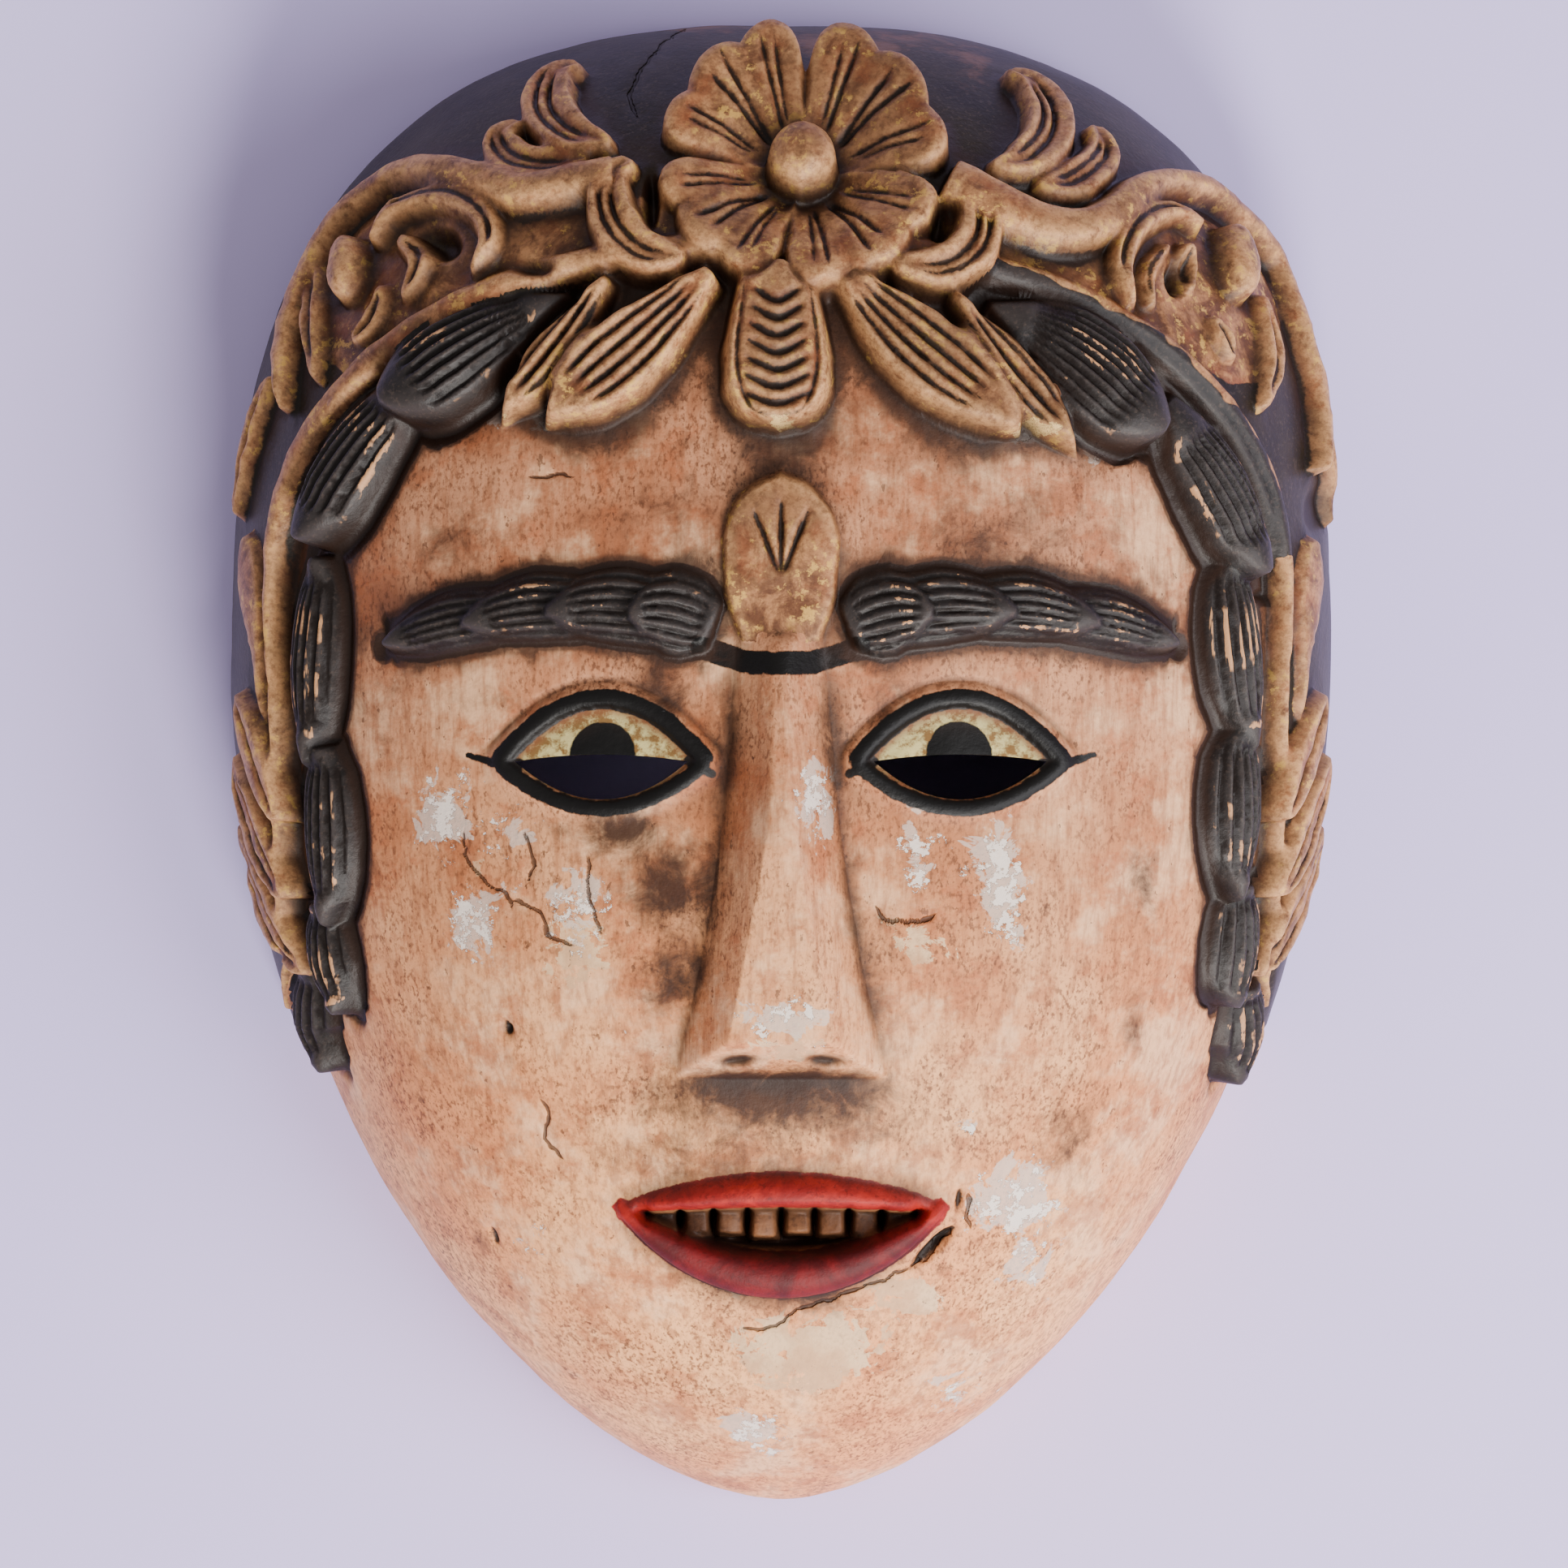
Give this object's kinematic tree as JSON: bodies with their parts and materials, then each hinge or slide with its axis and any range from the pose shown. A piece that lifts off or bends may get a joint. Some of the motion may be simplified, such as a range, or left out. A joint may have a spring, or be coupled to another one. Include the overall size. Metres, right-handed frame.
{
  "type": "javanese wooden face mask",
  "caption": "Carved and painted Javanese wooden face mask, hollow behind, with a black cap, gilt flower and scrolls, carved hair and pierced eyes, lying on its flat rim.",
  "frame": {"origin": "centre of the mask's outline, on the plane of its flat back rim", "axes": "+Z out of the face, +Y from the chin to the crown, X across the face"},
  "size_m": [0.149, 0.2, 0.0686],
  "materials": {
    "painted_wood": "aged satin paint over carved wood: flesh face, black cap and hair, worn gilt ornament, red lips, bare wood inside"
  },
  "bodies": {
    "root": {"mask": "painted_wood"}
  },
  "joints": []
}
